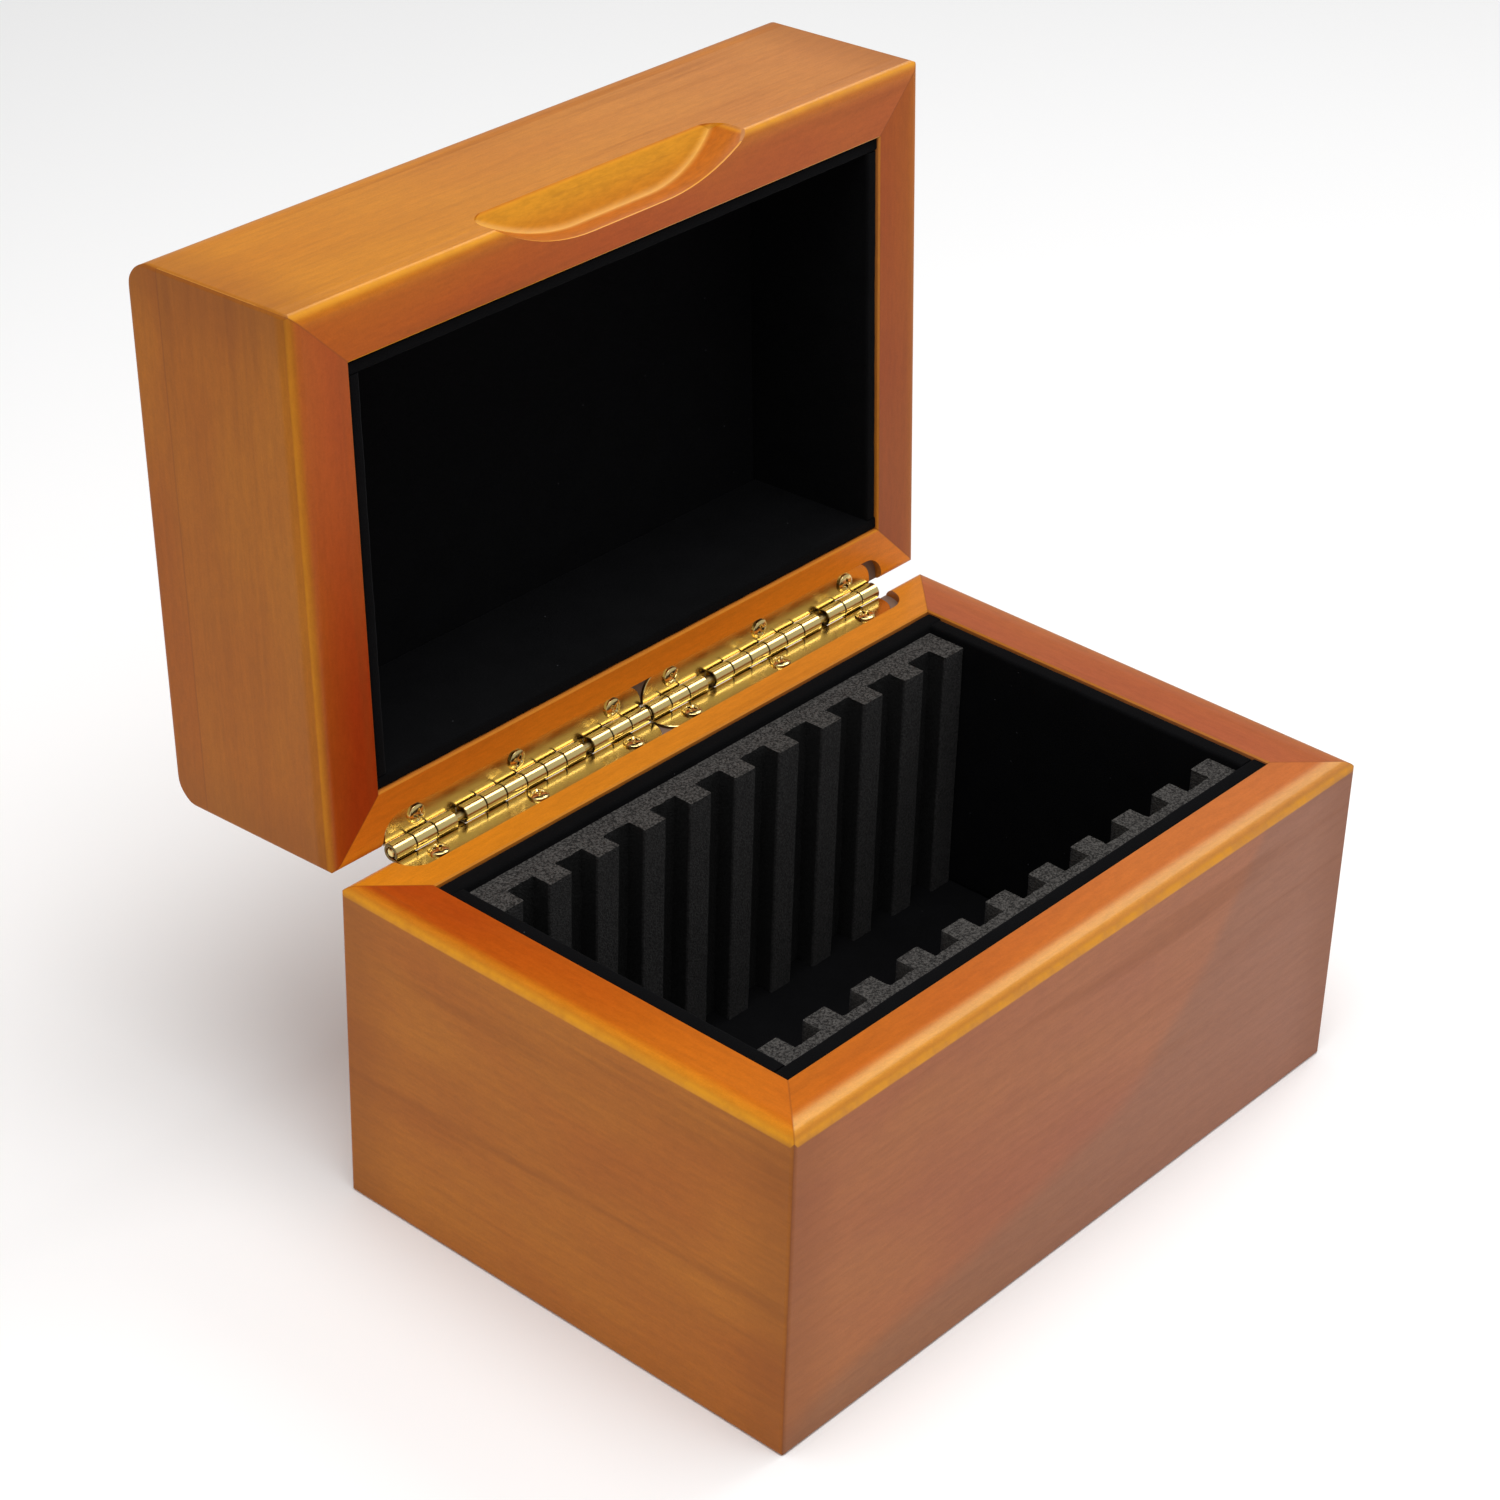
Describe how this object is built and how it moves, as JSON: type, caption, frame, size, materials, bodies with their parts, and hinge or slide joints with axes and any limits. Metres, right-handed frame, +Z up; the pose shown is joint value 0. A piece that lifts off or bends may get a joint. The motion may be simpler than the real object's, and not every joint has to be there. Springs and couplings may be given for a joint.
{
  "type": "coin display case",
  "caption": "Hinged wooden case, lid open, with two combs of foam that hold flat coin holders upright in a black flocked lining.",
  "frame": {"origin": "centre of the base's underside", "axes": "+X runs along the hinge to the right as seen from the front, -Y is the front, +Z is up; the lid rests open"},
  "size_m": [0.206, 0.1976, 0.2242],
  "materials": {
    "stained_wood": "honey stain under satin lacquer",
    "flocked_lining": "short black flock on board",
    "foam": "cut closed-cell foam, charcoal",
    "polished_brass": "polished brass"
  },
  "bodies": {
    "base": {"base_front_board": "stained_wood", "base_back_board": "stained_wood", "base_left_board": "stained_wood", "base_right_board": "stained_wood", "base_bottom_panel": "stained_wood", "base_floor_lining": "flocked_lining", "base_front_lining": "flocked_lining", "base_back_lining": "flocked_lining", "base_left_lining": "flocked_lining", "base_right_lining": "flocked_lining", "front_foam_rack": "foam", "rear_foam_rack": "foam", "left_hinge_base_leaf": "polished_brass", "right_hinge_base_leaf": "polished_brass", "left_hinge_pin": "polished_brass", "right_hinge_pin": "polished_brass", "left_hinge_base_screws": "polished_brass", "right_hinge_base_screws": "polished_brass"},
    "lid": {"lid_front_board": "stained_wood", "lid_back_board": "stained_wood", "lid_left_board": "stained_wood", "lid_right_board": "stained_wood", "lid_top_panel": "stained_wood", "lid_ceiling_lining": "flocked_lining", "lid_front_lining": "flocked_lining", "lid_back_lining": "flocked_lining", "lid_left_lining": "flocked_lining", "lid_right_lining": "flocked_lining", "left_hinge_lid_leaf": "polished_brass", "right_hinge_lid_leaf": "polished_brass", "left_hinge_lid_screws": "polished_brass", "right_hinge_lid_screws": "polished_brass"}
  },
  "joints": [
    {"name": "lid_hinge", "type": "hinge", "parent": "base", "child": "lid", "pos_m": [0, 0.0697, 0.08665], "axis": [1, 0, 0], "range_deg": [0, 92.9]}
  ]
}
